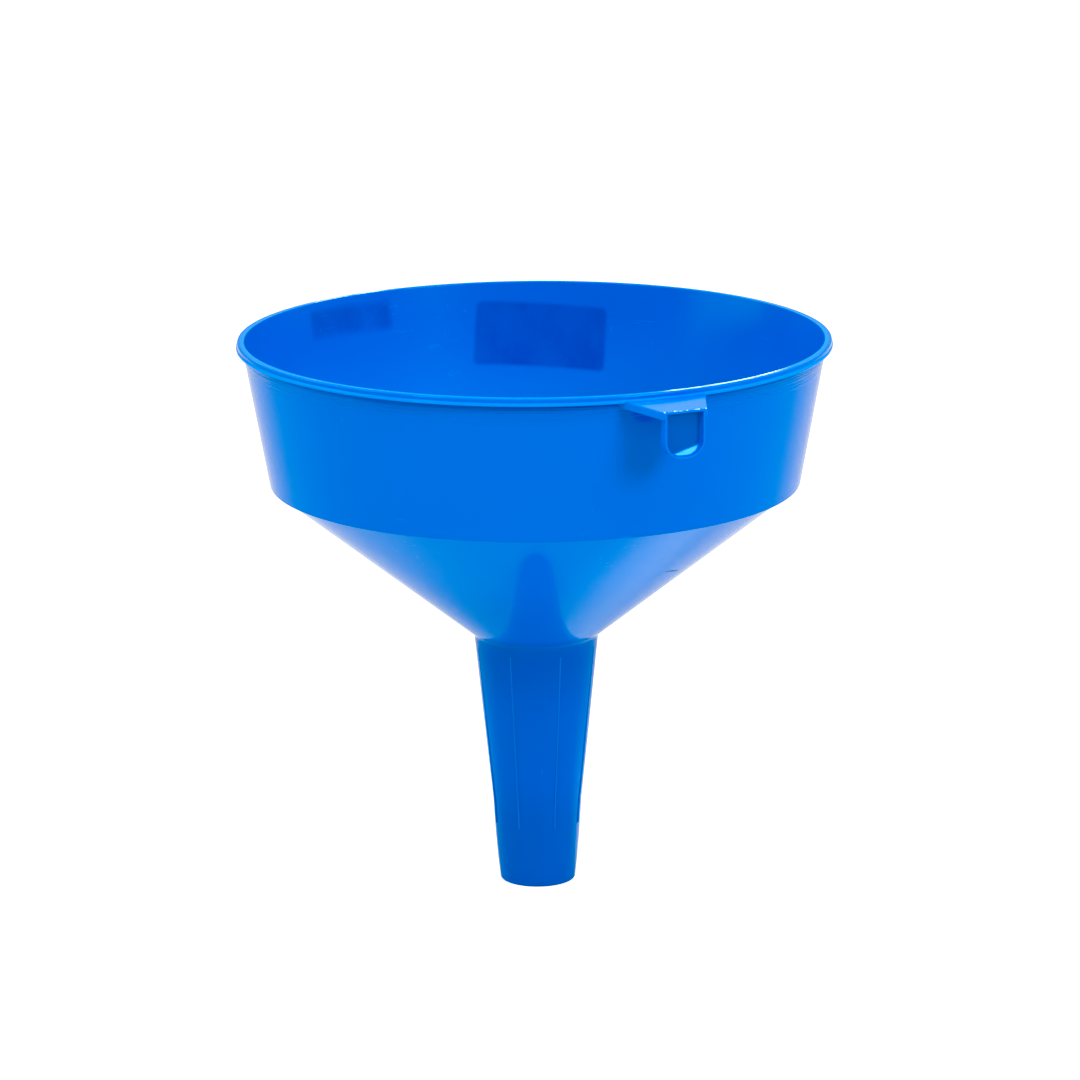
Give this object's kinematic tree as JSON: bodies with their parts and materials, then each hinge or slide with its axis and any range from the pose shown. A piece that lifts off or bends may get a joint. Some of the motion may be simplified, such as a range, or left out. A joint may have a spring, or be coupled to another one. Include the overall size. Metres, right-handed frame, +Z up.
{
  "type": "funnel",
  "caption": "Wide-mouth fluid funnel: beaded rim, tapered wall, steep cone, long ribbed spout and a hanging hook at the rim.",
  "frame": {"origin": "centre of the outlet at the very end of the spout, on the funnel's axis", "axes": "+Z up the funnel's axis from the outlet to the mouth; -Y is the side the hook is nearest to; the hook is 24.85 degrees round from -Y towards +X"},
  "size_m": [0.25, 0.2575, 0.2368],
  "materials": {
    "funnel_plastic": "smooth glossy blue polypropylene, slightly see-through, lightly scuffed",
    "label_paper": "blank coated paper sticker"
  },
  "bodies": {
    "root": {"rim_bead": "funnel_plastic", "upper_wall": "funnel_plastic", "cone": "funnel_plastic", "spout_tube": "funnel_plastic", "spout_tip": "funnel_plastic", "vent_ribs": "funnel_plastic", "hook_arm": "funnel_plastic", "hook_tab": "funnel_plastic", "back_label": "label_paper", "side_label": "label_paper"}
  },
  "joints": []
}
